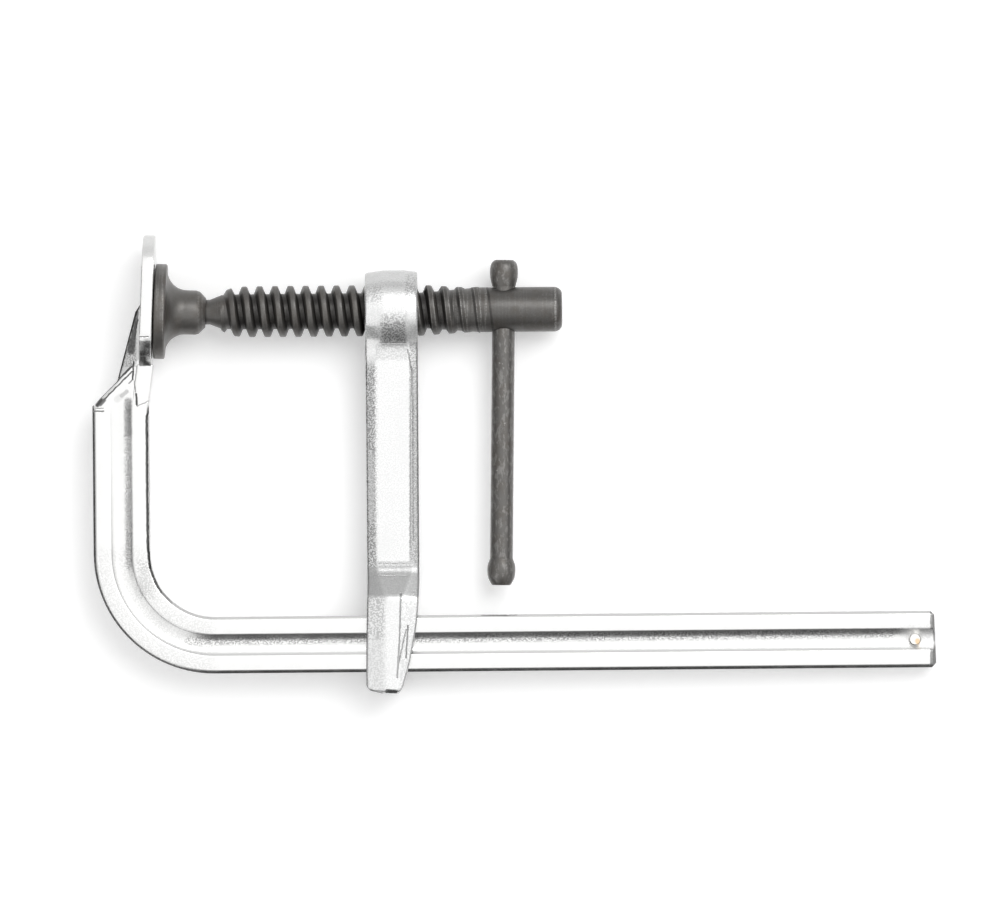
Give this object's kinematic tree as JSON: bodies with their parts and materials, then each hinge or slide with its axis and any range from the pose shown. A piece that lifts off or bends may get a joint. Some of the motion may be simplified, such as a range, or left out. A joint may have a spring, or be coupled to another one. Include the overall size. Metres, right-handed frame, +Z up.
{
  "type": "bar clamp",
  "caption": "All-steel bar clamp: an L-shaped grooved rail with a forged jaw, and a sliding arm that carries a coarse screw with a swivel pad and a sliding tommy bar.",
  "frame": {"origin": "middle of the fixed jaw's face, where the screw's axis meets it", "axes": "+X along the rail and the screw, from the jaw towards the handle; +Y from the rail towards the screw; +Z up, across the flat side, with the clamp lying on its side"},
  "size_m": [0.2106, 0.1154, 0.0244],
  "materials": {
    "plated_rail": "bright nickel-like plating over a drawn and forged bar",
    "stop_pin": "plated pin with a worn, copper-tinted end",
    "plated_forging": "plating over a grainy drop forging",
    "black_oxide": "oiled black oxide, worn lighter on edges and crests"
  },
  "bodies": {
    "rail": {"rail": "plated_rail", "stop_pin": "stop_pin"},
    "arm": {"sliding_arm": "plated_forging"},
    "pad": {"swivel_pad": "black_oxide"},
    "spindle": {"spindle": "black_oxide"},
    "handle": {"handle_bar": "black_oxide", "upper_knob": "black_oxide", "lower_knob": "black_oxide"}
  },
  "joints": [
    {"name": "arm_slide", "type": "slide", "parent": "rail", "child": "arm", "axis": [1, 0, 0], "range_m": [0, 0.1232]},
    {"name": "spindle_feed", "type": "slide", "parent": "arm", "child": "pad", "axis": [1, 0, 0], "range_m": [0, 0.0384]},
    {"name": "spindle_turn", "type": "hinge", "parent": "pad", "child": "spindle", "pos_m": [0.0082, 0, 0], "axis": [1, 0, 0], "range_deg": [0, 3600]},
    {"name": "handle_slide", "type": "slide", "parent": "spindle", "child": "handle", "axis": [0.0175, 0.9998, 0], "range_m": [0, 0.0561]}
  ],
  "couplings": [
    {"joint": "spindle_feed", "follows": "spindle_turn", "m_per_rad": 0.00061116}
  ]
}
